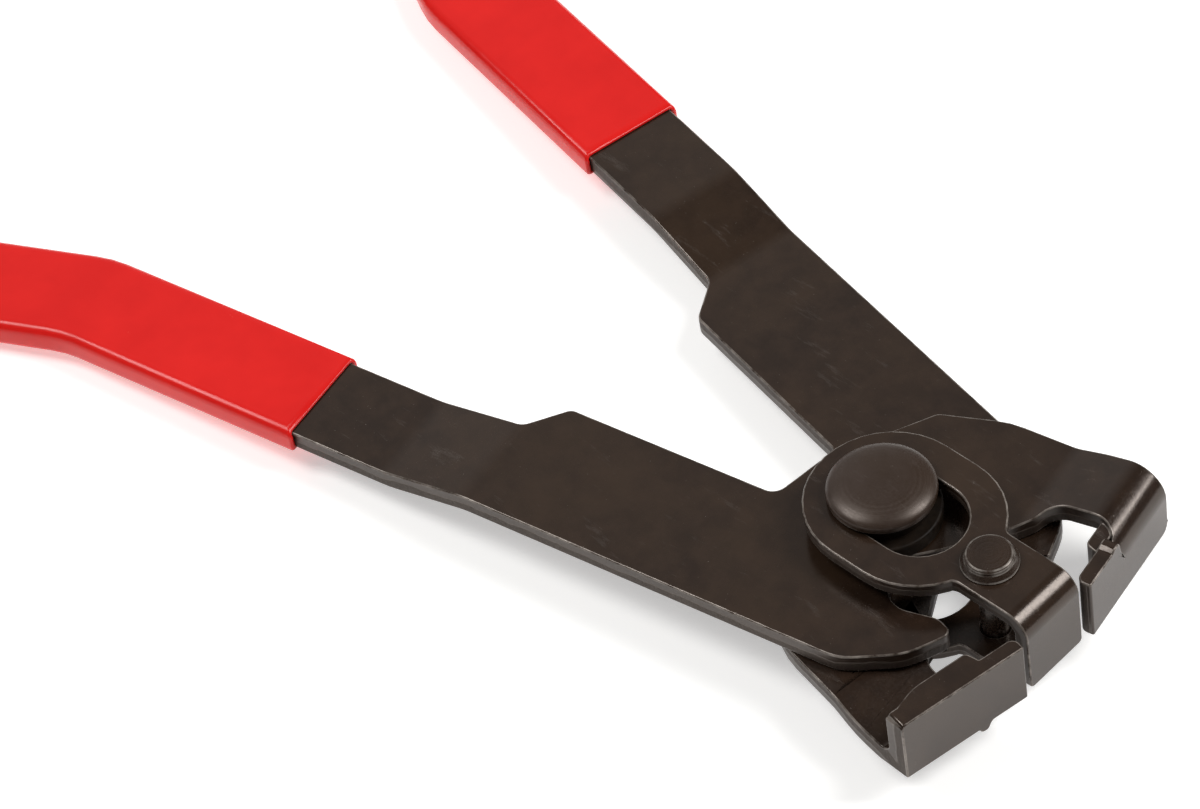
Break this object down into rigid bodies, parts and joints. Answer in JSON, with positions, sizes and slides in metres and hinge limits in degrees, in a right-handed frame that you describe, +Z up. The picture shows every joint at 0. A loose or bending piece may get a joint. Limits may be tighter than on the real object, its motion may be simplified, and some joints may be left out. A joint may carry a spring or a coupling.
{
  "type": "ear clamp pliers",
  "caption": "Pliers for closing ear-type hose and boot clamps, with crossed levers, bent jaws, sliding keyhole plates and dipped grips.",
  "frame": {"origin": "centre of the bounding box in plan, at the level of the rivet's flat tail, in the open pose", "axes": "+X from the handles towards the jaws along the tool's axis, +Y towards the upper lever's jaw, +Z up along the rivet towards its domed head"},
  "size_m": [0.2404, 0.1594, 0.0268],
  "materials": {
    "blackened_sheet": "satin black oxide with an oily brown tint",
    "turned_steel": "satin black oxide",
    "red_plastic": "glossy dipped vinyl"
  },
  "bodies": {
    "pivot": {"main_rivet": "turned_steel", "spacer_upper": "turned_steel", "spacer_lower": "turned_steel"},
    "upper_lever": {"lever_upper": "blackened_sheet", "grip_upper": "red_plastic"},
    "lower_lever": {"lever_lower": "blackened_sheet", "grip_lower": "red_plastic"},
    "sliding_plates": {"keyhole_plate": "blackened_sheet", "lower_plate": "blackened_sheet", "guide_pin": "turned_steel"}
  },
  "joints": [
    {"name": "upper_lever_turn", "type": "hinge", "parent": "pivot", "child": "upper_lever", "pos_m": [0.08022, 0, 0.0143], "axis": [0, 0, -1], "range_deg": [0, 11]},
    {"name": "lower_lever_turn", "type": "hinge", "parent": "pivot", "child": "lower_lever", "pos_m": [0.08022, 0, 0.0101], "axis": [0, 0, 1], "range_deg": [0, 11]},
    {"name": "plate_slide", "type": "slide", "parent": "pivot", "child": "sliding_plates", "axis": [-1, 0, 0], "range_m": [0, 0.0066]}
  ],
  "couplings": [
    {"joint": "lower_lever_turn", "follows": "upper_lever_turn", "ratio": 1},
    {"joint": "plate_slide", "follows": "upper_lever_turn", "m_per_rad": 0.034}
  ]
}
